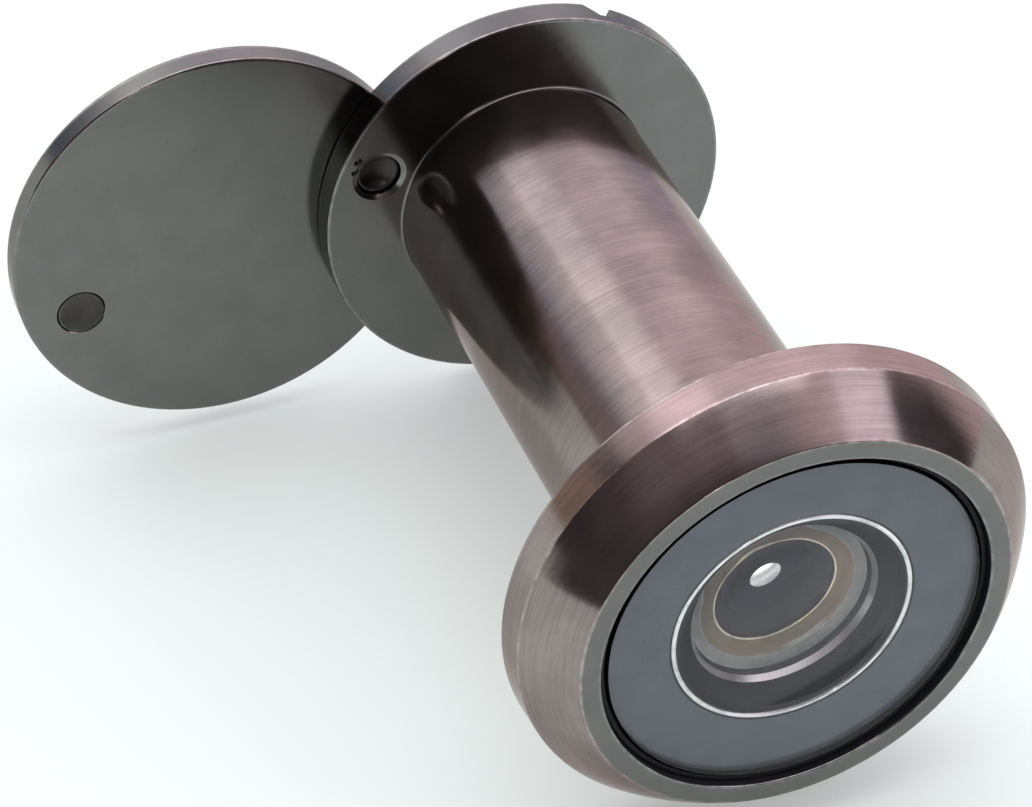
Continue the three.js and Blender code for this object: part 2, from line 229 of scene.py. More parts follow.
FAR_BACK_LIGHT = [
    (-0.68, 0.40, BLUE),
    (-0.61, 0.35, BLUE),
    (-0.55, 0.60, BLUE),
    (-0.36, 0.60, COOL),
    (-0.32, 1.20, COOL),
    (-0.08, 1.50, COOL),
    (0.05, 1.10, COOL),
    (0.30, 1.00, COOL),
    (0.50, 1.25, COOL),
    (0.60, 1.00, COOL),
    (0.68, 0.85, BLUE),
    (1.00, 0.90, COOL),
]
END_LIGHT = [
    (-0.60, 0.40, BLUE),
    (-0.52, 0.48, COOL),
    (-0.41, 1.20, PALE),
    (-0.32, 2.00, PALE),
    (-0.22, 2.30, PALE),
    (0.00, 1.60, PALE),
    (0.22, 1.70, ROSE),
    (0.41, 1.95, ROSE),
    (0.54, 1.55, PALE),
    (0.62, 1.35, COOL),
    (1.00, 1.10, COOL),
]
RAMP_SCALE = 3.0  # no light in these tables is stronger, and a colour ramp stops at 1
FRONT_SHADE = (-0.72, -0.58, 0.15)  # in front of the first y, only this last share of the light is left
LIGHT_BANDS = [  # each table takes over from the one before it between two values of y
    (-0.10, 0.05, SIDE_LIGHT),
    (0.63, 0.68, BACK_LIGHT),
    (0.71, 0.74, FAR_BACK_LIGHT),
    (0.782, 0.792, END_LIGHT),
]
OVERHEAD_Z = (0.84, 0.90)  # a soft box overhead fades in between these heights
OVERHEAD_Y = (-0.34, -0.28)  # and between these values of y
OVERHEAD_LIGHT = (3.0, 2.8, 2.9)
LAMP_TOWARDS = Vector((-0.10, -0.96, 0.25)).normalized()  # a small lamp in front of the lens
LAMP_EDGE = (math.cos(math.radians(4.0)), math.cos(math.radians(2.5)))
LAMP_LIGHT = (12.0, 11.5, 11.0)
WHITE = (1.0, 1.0, 1.0)
HORIZON = (0.056, 0.066)  # behind the object, the world is white up to the first of these heights
BACKDROP = (0.70, 0.82)  # that white backdrop fades in where y - x is between these
FLOOR_LEVEL = 0.35  # share of the floor's look that is plain white; the rest shows its shadow
FLOOR_COLOUR = (0.74, 0.91, 0.86)
FLOOR_LENGTH = 1040
FLOOR_WIDTH = 250
GLASS_BOUNCES = 24  # light bounces, enough to get through four lenses and back
GLOSSY_BOUNCES = 8


def ramp_by_x(graph, x, rows):
    """Light by direction x, from -1 to 1. It goes through the ramp scaled down, and up again after."""
    place = graph.remap(x, -1.0, 1.0)
    stops = []
    for at, level, tint in rows:
        stops.append(((at + 1) / 2, tuple(level * c / RAMP_SCALE for c in tint)))
    return graph.scaled(graph.ramp(place, stops), RAMP_SCALE)


def make_world():
    world = bpy.data.worlds.new("studio")
    world.use_nodes = True
    bpy.context.scene.world = world
    graph = Graph(world.node_tree)
    direction = graph.node("ShaderNodeTexCoord", {}).outputs["Generated"]
    x, y, z = graph.node("ShaderNodeSeparateXYZ", {0: direction}).outputs
    shade = graph.remap(y, *FRONT_SHADE, 1.0, smooth=True)
    sides = graph.scaled(ramp_by_x(graph, x, FRONT_LIGHT), shade)
    for low, high, rows in LIGHT_BANDS:
        sides = graph.mix(graph.remap(y, low, high), sides, ramp_by_x(graph, x, rows))
    high_up = graph.remap(z, *OVERHEAD_Z, smooth=True)
    behind = graph.remap(y, *OVERHEAD_Y, smooth=True)
    sky = graph.mix(graph.math("MULTIPLY", high_up, behind), sides, OVERHEAD_LIGHT)
    lamp = graph.remap(graph.vector("DOT_PRODUCT", direction, LAMP_TOWARDS, output="Value"), *LAMP_EDGE)
    sky = graph.mix(lamp, sky, LAMP_LIGHT)
    backdrop = graph.remap(graph.math("SUBTRACT", y, x), *BACKDROP, smooth=True)
    low_down = graph.remap(z, *HORIZON, 1.0, 0.0, smooth=True)
    light = graph.mix(graph.math("MULTIPLY", low_down, backdrop), sky, WHITE)
    background = graph.node("ShaderNodeBackground", {"Color": light, "Strength": 1.0}).outputs[0]
    graph.finish(background, "ShaderNodeOutputWorld")


def seen_directly(graph):
    """1 for the rays that show a thing itself: from the camera, a mirror or glass."""
    path = graph.node("ShaderNodeLightPath", {}).outputs
    seen = graph.math("MAXIMUM", path["Is Camera Ray"], path["Is Glossy Ray"])
    return graph.math("MAXIMUM", seen, path["Is Transmission Ray"])


def floor_material():
    """Matt pale paper, part of it plain white where it is seen directly, and clear from below."""
    material, graph = new_material("floor")
    paper = graph.node("ShaderNodeBsdfDiffuse", {"Color": as_colour(FLOOR_COLOUR)}).outputs[0]
    white = graph.node("ShaderNodeEmission", {"Color": as_colour(WHITE), "Strength": 1.0}).outputs[0]
    look = graph.mix_shader(FLOOR_LEVEL, paper, white)
    shown = graph.mix_shader(seen_directly(graph), paper, look)
    below = graph.node("ShaderNodeNewGeometry", {}).outputs["Backfacing"]
    camera_ray = graph.node("ShaderNodeLightPath", {}).outputs["Is Camera Ray"]
    clear = graph.node("ShaderNodeBsdfTransparent", {}).outputs[0]
    graph.finish(graph.mix_shader(graph.math("MULTIPLY", below, camera_ray), shown, clear))
    return material


def make_floor(front_contact, back_contact):
    """A long strip of floor under two points, given as (y, z), that the viewer lies on. Its length
    runs from the upper left of the photo to the lower right."""
    slope = (back_contact[1] - front_contact[1]) / (back_contact[0] - front_contact[0])
    height = front_contact[1] - slope * front_contact[0]
    mesh = bpy.data.meshes.new("floor")
    along = Vector((1, -1)).normalized() * FLOOR_LENGTH / 2
    across = Vector((1, 1)).normalized() * FLOOR_WIDTH / 2
    points = [along + across, across - along, -along - across, along - across]
    mesh.from_pydata([Vector((x, y, height + slope * y)) * MM for x, y in points], [], [range(4)])
    mesh.materials.append(floor_material())
    floor = bpy.data.objects.new("floor", mesh)
    bpy.context.scene.collection.objects.link(floor)


scene = bpy.context.scene
scene.view_settings.view_transform = "Standard"
scene.cycles.max_bounces = GLASS_BOUNCES
scene.cycles.transmission_bounces = GLASS_BOUNCES
scene.cycles.glossy_bounces = GLOSSY_BOUNCES

make_world()

# ---------------------------------------------------------------- meshes turned about the Y axis

SIDES = 192
SMALL_SIDES = 96
ARC_STEPS = 5
WEAR_MARGIN = 0.1  # how far edge wear reaches beyond a rounded edge
WEAR_ROOM = 0.45  # an edge gets that margin where it ends within this share of the side
SHARP_ANGLE = math.radians(35)
TINY = 1e-6  # lengths below this are none


def extent(node):
    """Where a round CAD node is: its centre, its radius, and its front (street) and back ends."""
    low, high = (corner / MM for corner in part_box(node))
    return SimpleNamespace(
        centre=Vector(((low.x + high.x) / 2, 0, (low.z + high.z) / 2)),
        radius=(high.x - low.x) / 2,
        front=low.y,
        back=high.y,
    )


def corner(radius, y, rounding=0.0, finish=None, wear=1.0):
    """A corner of an outline, rounded to this radius. finish is the material of the side that follows
    it, where that isn't the piece's own, and wear is how bright its rounded edge is rubbed."""
    return SimpleNamespace(at=Vector((radius, y)), rounding=rounding, finish=finish, wear=wear)


def rounded(corners):
    """The outline's points, as (point, wear, finish), with each rounded corner turned into an arc."""
    points = []
    for i, here in enumerate(corners):
        if not here.rounding:
            points.append((here.at, 0.0, here.finish))
            continue
        before = corners[i - 1].at - here.at
        after = corners[(i + 1) % len(corners)].at - here.at
        half = before.angle(after) / 2
        reach = here.rounding / math.tan(half)
        middle = (before.normalized() + after.normalized()).normalized()
        centre = here.at + middle * here.rounding / math.sin(half)
        start = here.at + before.normalized() * reach - centre
        end = here.at + after.normalized() * reach - centre
        turn = math.pi - 2 * half
        if reach + WEAR_MARGIN < WEAR_ROOM * before.length:
            margin = here.at + before.normalized() * (reach + WEAR_MARGIN)
            points.append((margin, 0.0, corners[i - 1].finish))
        for step in range(ARC_STEPS + 1):
            t = step / ARC_STEPS
            share = math.sin((1 - t) * turn) / math.sin(turn)
            arm = start * share + end * (math.sin(t * turn) / math.sin(turn))
            points.append((centre + arm, here.wear, here.finish))
        if reach + WEAR_MARGIN < WEAR_ROOM * after.length:
            margin = here.at + after.normalized() * (reach + WEAR_MARGIN)
            points.append((margin, 0.0, here.finish))
    return points


def link_object(name, mesh, centre):
    made = bpy.data.objects.new(name, mesh)
    made.location = centre * MM
    bpy.context.scene.collection.objects.link(made)
    return made


def lathe(name, material, corners, centre=Vector(), sides=SIDES, bend=None):
    """Turns a closed outline about the Y axis, in this material where a corner names no other.
    bend(radius, y, angle) moves a point of the surface."""
    outline = rounded(corners)
    materials = list(dict.fromkeys([material] + [each.finish for each in corners if each.finish]))
    vertices, wear, rings = [], [], []
    for point, worn, _ in outline:
        count = sides if point.x > TINY else 1
        rings.append([len(vertices) + i % count for i in range(sides)])
        for i in range(count):
            angle = 2 * math.pi * i / sides
            radius, y = bend(point.x, point.y, angle) if bend else point
            vertices.append(Vector((radius * math.cos(angle), y, radius * math.sin(angle))) * MM)
            wear.append(worn)
    faces, finishes = [], []
    for i, (_, _, finish) in enumerate(outline):
        here, there = rings[i], rings[(i + 1) % len(rings)]
        if here[1] == here[0] and there[1] == there[0]:
            continue
        for j in range(sides):
            k = (j + 1) % sides
            loop = list(dict.fromkeys((here[j], here[k], there[k], there[j])))
            faces.append(loop)
            finishes.append(materials.index(finish or material))
    mesh = bpy.data.meshes.new(name)
    mesh.from_pydata(vertices, [], faces)
    mesh.polygons.foreach_set("material_index", finishes)
    for each in materials:
        mesh.materials.append(each)
    mesh.attributes.new("wear", "FLOAT", "POINT").data.foreach_set("value", wear)
    outward(mesh)
    return link_object(name, mesh, centre)


def outward(mesh):
    """Turns a closed mesh's faces outwards."""
    shape = bmesh.new()
    shape.from_mesh(mesh)
    bmesh.ops.recalc_face_normals(shape, faces=shape.faces)
    shape.to_mesh(mesh)
    shape.free()


def prism(name, section, start, end, turn=Matrix.Identity(4)):
    """A section, as (x, y) points, extruded along Z from start to end, then turned."""
    count = len(section)
    vertices = [turn @ (Vector((x, y, z)) * MM) for z in (start, end) for x, y in section]
    faces = [list(range(count)), list(range(count, 2 * count))]
    faces += [[i, (i + 1) % count, count + (i + 1) % count, count + i] for i in range(count)]
    mesh = bpy.data.meshes.new(name)
    mesh.from_pydata(vertices, [], faces)
    outward(mesh)
    return link_object(name, mesh, Vector())


def cut(piece, cutters):
    """Cuts the cutters out of the piece, and removes them."""
    for cutter in cutters:
        modifier = piece.modifiers.new("cut", "BOOLEAN")
        modifier.operation = "DIFFERENCE"
        modifier.solver = "EXACT"
        modifier.object = cutter
    evaluated = piece.evaluated_get(bpy.context.evaluated_depsgraph_get())
    mesh = bpy.data.meshes.new_from_object(evaluated)
    piece.modifiers.clear()
    piece.data = mesh
    for cutter in cutters:
        bpy.data.objects.remove(cutter)


def settle(piece, node, sharp=SHARP_ANGLE):
    """Shades a finished piece, and puts it in its CAD node's place."""
    mesh = piece.data
    mesh.shade_smooth()
    mesh.set_sharp_from_angle(angle=sharp)
    shading = piece.modifiers.new("even_shading", "WEIGHTED_NORMAL")
    shading.keep_sharp = True
    body = next(name for name, nodes in frame["record"]["behaviour"]["bodies"].items() if node in nodes)
    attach(piece, body)
    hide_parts(node)


# ---------------------------------------------------------------- materials

# How close together the features of a surface are, per millimetre.
CLOUDS_PER_MM = 0.32
GRAINS_PER_MM = 9.0
FINE_GRAINS_PER_MM = 22.0
FINE_LINES_PER_MM = 11.0
BROAD_LINES_PER_MM = 2.6
WEAR_PER_MM = 1.7
SPECKS_PER_MM = 4.5
MATT_CLOUDS_PER_MM = 0.6
MATT_GRAINS_PER_MM = 12.0
DUST_PER_MM = 6.0
SMEARS_PER_MM = 0.5
GLASS_DUST_PER_MM = 5.0
LINES_ROUND = 2.5  # how often a turning line changes on its way round
CLOUD_GAIN = (2.6, 1.9, 2.1)  # how much the light clouds gain in red, green and blue
QUARTER_TURN = 0.25  # the anisotropy follows the turning lines
GLASS_IOR = 1.52


def metal(name, tint, grazing, roughness, brush=0.0, grain=0.0, anisotropy=0.0, metallic=1.0,
          mottle=0.10):
    """A turned metal part. brush is how deep its fine turning lines are, grain how deep its satin
    grain is, both in micrometres, mottle how uneven its colour is, and grazing what it reflects at
    a shallow angle."""
    material, graph = new_material(name)
    place = graph.node("ShaderNodeTexCoord", {}).outputs["Object"]
    at = graph.scaled(place, 1 / MM)
    x, y, z = graph.node("ShaderNodeSeparateXYZ", {0: at}).outputs
    flat = graph.node("ShaderNodeCombineXYZ", {0: x, 2: z}).outputs[0]
    radius = graph.vector("LENGTH", flat, output="Value")
    around = graph.scaled(graph.vector("NORMALIZE", flat), LINES_ROUND)

    def lines(per_mm, detail):
        """Noise drawn out along the direction of turning."""
        along = graph.node("ShaderNodeCombineXYZ", {1: graph.math("MULTIPLY", y, per_mm)}).outputs[0]
        across = graph.math("MULTIPLY", radius, per_mm)
        return graph.noise(graph.vector("ADD", around, along), 1.0, detail, w=across)

    cloud = graph.noise(at, CLOUDS_PER_MM, 3.0)
    fine = graph.noise(at, GRAINS_PER_MM, 2.0)
    finer = graph.noise(at, FINE_GRAINS_PER_MM, 1.0)
    turning = lines(FINE_LINES_PER_MM, 3.0)
    broad = lines(BROAD_LINES_PER_MM, 2.0)

    # Colour: soft clouds, then turning lines, rubbed edges and dark specks.
    darker = tuple(c * (1 - 2.2 * mottle) for c in tint)
    lighter = tuple(c * (1 + gain * mottle) for c, gain in zip(tint, CLOUD_GAIN))
    colour = graph.mix(graph.remap(cloud, 0.34, 0.66, smooth=True), darker, lighter)
    streaks = graph.math("ADD", graph.math("MULTIPLY", turning, 0.7), graph.math("MULTIPLY", broad, 0.3))
    contrast = 0.22 * min(brush, 1)
    shade = graph.remap(streaks, 0.30, 0.70, 1 - contrast, 1 + contrast)
    grey = graph.node("ShaderNodeCombineColor", {0: shade, 1: shade, 2: shade}).outputs[0]
    colour = graph.mix(1.0, colour, grey, "MULTIPLY")
    edge = graph.node("ShaderNodeAttribute", {}, attribute_name="wear").outputs["Fac"]
    patches = graph.remap(graph.noise(at, WEAR_PER_MM, 4.0), 0.35, 0.62, 0.0, 0.55)
    worn = graph.math("MULTIPLY", edge, patches)
    colour = graph.mix(worn, colour, tuple(min(1.0, 1.8 * c + 0.05) for c in tint))
    speck = graph.remap(graph.noise(at, SPECKS_PER_MM, 1.0), 0.74, 0.80, 0.0, 0.5)
    colour = graph.mix(speck, colour, tuple(0.35 * c for c in tint))

    # Roughness goes with the clouds and the grain, and rubbed edges are smoother.
    rough = graph.remap(cloud, 0.3, 0.7, roughness * 0.86, roughness * 1.14)
    rough = graph.math("ADD", rough, graph.remap(fine, 0.3, 0.7, -0.02, 0.03))
    rough = graph.math("SUBTRACT", rough, graph.math("MULTIPLY", worn, 0.08))

    # Height: the turning lines, and the grain with a finer one on it.
    height = graph.math("MULTIPLY", turning, brush)
    height = graph.math("ADD", height, graph.math("MULTIPLY", fine, grain))
    height = graph.math("ADD", height, graph.math("MULTIPLY", finer, 0.4 * grain))
    shader = graph.node("ShaderNodeBsdfPrincipled", {
        "Base Color": colour,
        "Metallic": metallic,
        "Roughness": rough,
        "Specular Tint": as_colour(grazing),
        "Anisotropic": anisotropy,
        "Normal": graph.bump(height),
    })
    if anisotropy:
        tangent = graph.node("ShaderNodeTangent", {}, direction_type="RADIAL", axis="Y").outputs[0]
        graph.feed(shader.inputs["Tangent"], tangent)
        shader.inputs["Anisotropic Rotation"].default_value = QUARTER_TURN
    graph.finish(shader.outputs[0])
    return material


def matt(name, tint, roughness, grain=4.0, shine=0.3):
    """A dull black or dark part with a fine grain and a little dust."""
    material, graph = new_material(name)
    place = graph.node("ShaderNodeTexCoord", {}).outputs["Object"]
    at = graph.scaled(place, 1 / MM)
    cloud = graph.noise(at, MATT_CLOUDS_PER_MM, 4.0)
    fine = graph.noise(at, MATT_GRAINS_PER_MM, 2.0)
    dust = graph.remap(graph.noise(at, DUST_PER_MM, 2.0), 0.66, 0.74, 0.0, 0.15)
    colour = graph.mix(cloud, tuple(0.8 * c for c in tint), tuple(1.25 * c for c in tint))
    colour = graph.mix(dust, colour, tuple(min(1.0, 2.0 * c + 0.04) for c in tint))
    shader = graph.node("ShaderNodeBsdfPrincipled", {
        "Base Color": colour,
        "Roughness": graph.remap(cloud, 0.3, 0.7, roughness * 0.9, roughness * 1.1),
        "Specular IOR Level": shine,
        "Normal": graph.bump(graph.math("MULTIPLY", fine, grain)),
    })
    graph.finish(shader.outputs[0])
    return material


def glass(name, tint, reflection=(1.0, 1.0, 1.0)):
    """Glass with the faint unevenness and the dust that glass in use has. reflection is white for
    plain glass and dark for a coated one."""
    material, graph = new_material(name)
    place = graph.node("ShaderNodeTexCoord", {}).outputs["Object"]
    at = graph.scaled(place, 1 / MM)
    smear = graph.noise(at, SMEARS_PER_MM, 4.0)
    dust = graph.remap(graph.noise(at, GLASS_DUST_PER_MM, 1.0), 0.78, 0.82, 0.0, 0.25)
    rough = graph.math("ADD", graph.remap(smear, 0.45, 0.75, 0.0, 0.02), dust)
    pale = tuple(min(1.0, 1.02 * c) for c in tint)
    shader = graph.node("ShaderNodeBsdfPrincipled", {
        "Base Color": graph.mix(smear, tint, pale),
        "Roughness": rough,
        "IOR": GLASS_IOR,
        "Specular Tint": as_colour(reflection),
        "Transmission Weight": 1.0,
        "Normal": graph.bump(smear),
    })
    graph.finish(shader.outputs[0])
    return material


COPPER_TINT = (0.260, 0.228, 0.216)
COPPER_GRAZING = (0.74, 0.66, 0.64)
SATIN_TINT = (0.170, 0.172, 0.165)
SATIN_GRAZING = (0.64, 0.60, 0.58)

copper = metal("copper_brushed", COPPER_TINT, COPPER_GRAZING, 0.15, brush=0.9, grain=0.3,
               anisotropy=0.6, metallic=0.985, mottle=0.04)
satin = metal("copper_satin", SATIN_TINT, SATIN_GRAZING, 0.16, brush=0.1, grain=1.2, mottle=0.02)
dark_satin = metal("copper_dark", (0.065, 0.062, 0.060), SATIN_GRAZING, 0.33, brush=0.1, grain=2.5)
blackened = matt("blackened_bore", (0.014, 0.015, 0.020), 0.8, grain=0.1, shine=0.1)
rubber = matt("black_rubber", (0.012, 0.012, 0.013), 0.6, shine=0.2)
# a blue-grey backing behind the objective's glass; its light tone is partly its own colour and partly a
# painted reflection of the floor in the glass
slate_with_painted_reflection = matt("slate_backing_painted_reflection", (0.205, 0.237, 0.292), 0.6, grain=0.02, shine=0.1)
plastic = matt("black_stop", (0.018, 0.019, 0.026), 0.7, shine=0.1)
ink = matt("edge_black", (0.003, 0.003, 0.004), 0.9, grain=0.5, shine=0.0)
aluminium = metal("turned_aluminium", (0.72, 0.73, 0.74), (0.95, 0.95, 0.95), 0.22, brush=1.0, grain=0.3)
brass = metal("turned_brass", (0.50, 0.44, 0.34), (0.9, 0.85, 0.75), 0.25, brush=0.6, grain=0.3)
old_brass = metal("old_brass", (0.22, 0.165, 0.115), (0.6, 0.55, 0.5), 0.38, brush=1.0, grain=0.5)
steel = metal("spring_steel", (0.42, 0.43, 0.44), (0.85, 0.85, 0.85), 0.25, brush=0.4, grain=0.6)
clear = glass("lens_glass", (0.97, 0.985, 0.98), (0.55, 0.55, 0.55))
coated = glass("coated_glass", (0.97, 0.985, 0.98), (0.14, 0.11, 0.18))
grey_ring = metal("blasted_ring", (0.40, 0.39, 0.37), (0.8, 0.8, 0.8), 0.5, brush=0.3, grain=1.5)
bright_bore = metal("bright_bore", (0.97, 0.97, 0.97), (1.0, 1.0, 1.0), 0.24, grain=0.2, mottle=0.02)
pale_metal = metal("blasted_aluminium", (0.93, 0.98, 0.94), (1.0, 1.0, 1.0), 0.30, grain=0.5)

# ---------------------------------------------------------------- barrel

barrel = extent("outer_barrel")
sleeve = extent("inner_sleeve")
gasket = extent("lens_gasket")
objective = extent("objective_lens")
spacer = extent("front_spacer")
second = extent("second_lens")
rear = extent("rear_spacer")
third = extent("third_lens")
stop = extent("field_stop")
eyepiece = extent("eyepiece_lens")
retainer = extent("eyepiece_retainer")
cover = extent("cover")
knob = extent("cover_knob")
rivet = extent("pivot_rivet")
washer = extent("wave_washer")

# From here on, sizes that no node's box gives repeat those of the part's own source, or belong to
# details that only the looks have, such as the thread, edge roundings and punch marks.
FIT = 0.05  # radial clearance round a lens or ring
LIP_RADIUS = 12.37  # where the flat lip meets the bevel
BEVEL_RADIUS = 14.75  # where the bevel meets the band
BEVEL_CROWN = 0.2  # how far the bevel bulges
BEVEL_STEPS = 10
BAND = 2.13  # height of the band behind the bevel
SEAT_WIDTH = 2.4  # ring of the back face that bears on the door
RELIEF = 0.5  # hollow inside that ring
NECK_RADIUS = 6.45
NECK_END = 1.4
LEAD_IN = 0.5
BORE = 5.85
LEDGE = 0.8
LEDGE_HOLE = 4.85
THREAD_RADIUS = 7.0
THREAD_DEPTH = 0.5
THREAD_PITCH = 1.0
THREAD_ROWS = 10  # rows of the mesh in each turn of the thread
THREAD_CREST = 0.1  # how much of the cut the flat on the crest leaves out
THREAD_FADE_IN = 0.8  # lengths over which the thread starts and ends
THREAD_FADE_OUT = 0.4


def curve(start, control, end, steps):
    """The points inside a quadratic curve, without its ends."""
    inside = (i / steps for i in range(1, steps))
    return [start * (1 - t) ** 2 + control * 2 * t * (1 - t) + end * t * t for t in inside]


def clamped(value):
    return min(1.0, max(0.0, value))


def thread(radius, y, angle):
    """Cuts the barrel's right-hand thread into its crest, fading out at both ends. The crest is at
    half a turn, and the root at a whole one."""
    if abs(radius - THREAD_RADIUS) > TINY:
        return radius, y
    phase = (y / THREAD_PITCH + angle / (2 * math.pi)) % 1.0
    flank = clamped(2 * (1 + THREAD_CREST) * abs(phase - 0.5) - THREAD_CREST)
    depth = THREAD_DEPTH * flank * flank * (3 - 2 * flank)
    start = clamped((y - NECK_END) / THREAD_FADE_IN)
    end = clamped((barrel.back - LEAD_IN - y) / THREAD_FADE_OUT)
    return radius - depth * min(start, end), y


def make_barrel():
    opening = gasket.radius + FIT
    stack = spacer.radius + FIT
    ledge_front = stop.back
    ledge_back = ledge_front + LEDGE
    lip = Vector((LIP_RADIUS, barrel.front))
    edge = Vector((BEVEL_RADIUS, -BAND))
    outward_normal = Vector((edge.y - lip.y, lip.x - edge.x)).normalized()
    crown = (lip + edge) / 2 + outward_normal * BEVEL_CROWN
    thread_length = barrel.back - LEAD_IN - NECK_END
    rows = round(thread_length * THREAD_ROWS / THREAD_PITCH)
    step = thread_length / rows
    made = lathe("barrel", copper, [
        corner(opening, barrel.front, 0.10, satin),
        corner(*lip, 0.10),
        *(corner(*point) for point in curve(lip, crown, edge, BEVEL_STEPS)),
        corner(*edge, 0.14),
        corner(barrel.radius, 0, 0.15),
        corner(barrel.radius - SEAT_WIDTH, 0, 0.08),
        corner(barrel.radius - SEAT_WIDTH - RELIEF, -RELIEF, 0.1),
        corner(NECK_RADIUS, -RELIEF, 0.15),
        corner(NECK_RADIUS, NECK_END - (THREAD_RADIUS - NECK_RADIUS)),
        *(corner(THREAD_RADIUS, NECK_END + i * step) for i in range(rows + 1)),
        corner(THREAD_RADIUS - LEAD_IN, barrel.back, 0.05),
        corner(BORE, barrel.back, 0.1, bright_bore),
        corner(BORE, ledge_back, finish=blackened),
        corner(LEDGE_HOLE, ledge_back, 0.05, blackened),
        corner(LEDGE_HOLE, ledge_front, 0.05, blackened),
        corner(BORE, ledge_front, finish=blackened),
        corner(BORE, third.front, finish=blackened),
        corner(stack, third.front, finish=blackened),
        corner(stack, gasket.back, 0.05, blackened),
        corner(opening, gasket.back, finish=blackened),
    ], bend=thread)
    settle(made, "outer_barrel")


make_barrel()

# ---------------------------------------------------------------- lens stack

GLASS_GAP = 0.02  # air between a lens and the ring it rests on, so that faces never coincide
GLASS_BEVEL = 0.12
DISH_STEPS = 14
OBJECTIVE_DISH = (6.5, 0.38)  # the radius and the depth of each curved glass face
SECOND_DISH = (4.3, 0.35)
THIRD_DISH = (3.3, 0.8)
EYEPIECE_DOME = (4.7, -1.3)

# Front spacer: a bright rim round a groove, and inside the groove a pale wall that slopes.
RIM_INNER = 6.66
RIM_OUTER = 6.95
RIM_BEVEL = 0.3  # height of the bevel outside the rim
RIM_BRIGHT = 0.2  # height of the bright part inside it
GROOVE_DEPTH = 1.04
WALL_FRONT = 5.55  # radius of the pale wall at the groove's floor
WALL_BACK = 5.35  # and at the back

# Rear spacer: the radii of its two cones, from the front to the bright inner edge.
CONE_FRONT = 5.3
CONE_MIDDLE = 4.65
CONE_BACK = 3.87
EDGE_RADIUS = 3.75
EDGE_HEIGHT = 1.04  # height of that edge, in thirds of the ring

STOP_HOLE = 1.3


def dish(radius, depth, y, side, finish=None):
    """A glass face at y, as corners from the axis outwards. It is hollow for a depth above 0 and
    domed below 0. The glass lies towards side (+1 or -1)."""
    ball = (radius ** 2 + depth ** 2) / (2 * abs(depth))
    towards = side * math.copysign(1, depth)
    centre = y + side * depth - towards * ball
    reaches = (radius * i / DISH_STEPS for i in range(DISH_STEPS + 1))
    return [corner(r, centre + towards * math.sqrt(ball ** 2 - r ** 2), finish=finish) for r in reaches]


def make_lenses():
    made = lathe("objective", clear, [
        corner(0, objective.front),
        corner(objective.radius - GLASS_BEVEL, objective.front, finish=ink),
        corner(objective.radius, objective.front + GLASS_BEVEL, finish=ink),
        corner(objective.radius, objective.back - GLASS_BEVEL, finish=ink),
        corner(objective.radius - GLASS_BEVEL, objective.back),
        *reversed(dish(*OBJECTIVE_DISH, objective.back, -1, finish=coated)),
    ])
    settle(made, "objective_lens")

    made = lathe("second", coated, [
        corner(0, second.front),
        corner(second.radius, second.front, finish=ink),
        corner(second.radius, second.back),
        *reversed(dish(*SECOND_DISH, second.back, -1)),
    ])
    settle(made, "second_lens")

    made = lathe("third", coated, [
        *dish(*THIRD_DISH, third.front, 1),
        corner(third.radius, third.front, finish=ink),
        corner(third.radius, third.back, finish=ink),
        *reversed(dish(*THIRD_DISH, third.back, -1)),
    ])
    settle(made, "third_lens")

    made = lathe("eyepiece", coated, [
        *dish(*EYEPIECE_DOME, retainer.back, 1),
        corner(eyepiece.radius, retainer.back, finish=ink),
        corner(eyepiece.radius, eyepiece.back - GLASS_BEVEL, finish=ink),
        corner(eyepiece.radius - GLASS_BEVEL, eyepiece.back),
        corner(0, eyepiece.back),
    ])
    settle(made, "eyepiece_lens")


def make_lens_rings():
    inside = spacer.radius + FIT
    wall = objective.radius + FIT
    made = lathe("gasket_ring", rubber, [
        # the face behind the objective: the blue-grey backing, lightened as a painted reflection of the
        # floor in the glass
        corner(inside, objective.back + GLASS_GAP, 0.04, slate_with_painted_reflection),
        corner(wall, objective.back + GLASS_GAP),
        corner(wall, objective.front + GLASS_BEVEL, 0.06),
        corner(gasket.radius, objective.front + GLASS_BEVEL, 0.06),
        corner(gasket.radius, gasket.back),
        corner(inside, gasket.back),
    ])
    settle(made, "lens_gasket")

    groove = spacer.front + GROOVE_DEPTH
    made = lathe("silver_ring", aluminium, [
        corner(RIM_INNER, spacer.front + GLASS_GAP, 0.10),
        corner(RIM_OUTER, spacer.front + GLASS_GAP, 0.10),
        corner(spacer.radius, spacer.front + RIM_BEVEL, finish=blackened),
        corner(spacer.radius, spacer.back - GLASS_GAP, finish=blackened),
        corner(WALL_BACK, spacer.back - GLASS_GAP, finish=pale_metal),
        corner(WALL_FRONT, groove, finish=blackened),
        corner(RIM_INNER, groove, finish=blackened),
        corner(RIM_INNER, spacer.front + RIM_BRIGHT),
    ])
    settle(made, "front_spacer")

    third_of_ring = (rear.back - rear.front) / 3
    made = lathe("brass_ring", blackened, [
        corner(CONE_FRONT, rear.front + GLASS_GAP, 0.05),
        corner(rear.radius, rear.front + GLASS_GAP, 0.05),
        corner(rear.radius, rear.back - GLASS_GAP),
        corner(EDGE_RADIUS, rear.back - GLASS_GAP, finish=brass),
        corner(EDGE_RADIUS, rear.back - third_of_ring, 0.06, brass),
        corner(CONE_BACK, rear.back - EDGE_HEIGHT * third_of_ring, finish=old_brass),
        corner(CONE_MIDDLE, rear.back - 2 * third_of_ring, 0.05, grey_ring),
    ])
    settle(made, "rear_spacer")

    made = lathe("stop_ring", plastic, [
        corner(STOP_HOLE, stop.front + GLASS_GAP, 0.03),
        corner(stop.radius, stop.front + GLASS_GAP, 0.05),
        corner(stop.radius, stop.back - GLASS_GAP, 0.05),
        corner(STOP_HOLE, stop.back - GLASS_GAP, 0.08),
    ])
    settle(made, "field_stop")


make_lenses()
make_lens_rings()

# ---------------------------------------------------------------- sleeve and eyepiece's retaining ring

